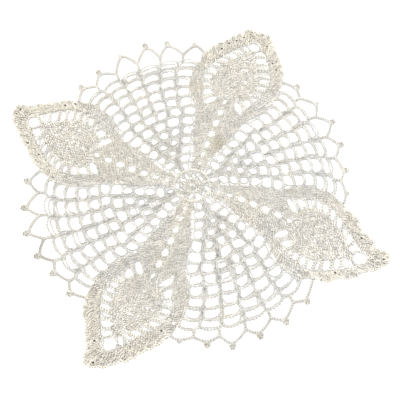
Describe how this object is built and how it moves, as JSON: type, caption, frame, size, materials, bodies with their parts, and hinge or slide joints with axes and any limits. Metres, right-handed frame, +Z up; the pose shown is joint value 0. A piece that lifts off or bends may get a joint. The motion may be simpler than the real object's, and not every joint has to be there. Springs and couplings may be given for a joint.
{
  "type": "crochet doily",
  "caption": "Flat crocheted cotton doily with pointed pineapple corners, open net between them and a looped picot edge; lies flat on a table.",
  "frame": {"origin": "middle of the sheet's outline box, on its flat underside where it rests on the table", "axes": "+X towards the pointed corner at the picture's right, +Y towards the one at its top, +Z up from the table"},
  "size_m": [0.3077, 0.2938, 0.0026],
  "materials": {
    "cotton": "matt unbleached cotton thread"
  },
  "bodies": {
    "root": {"doily": "cotton"}
  },
  "joints": []
}
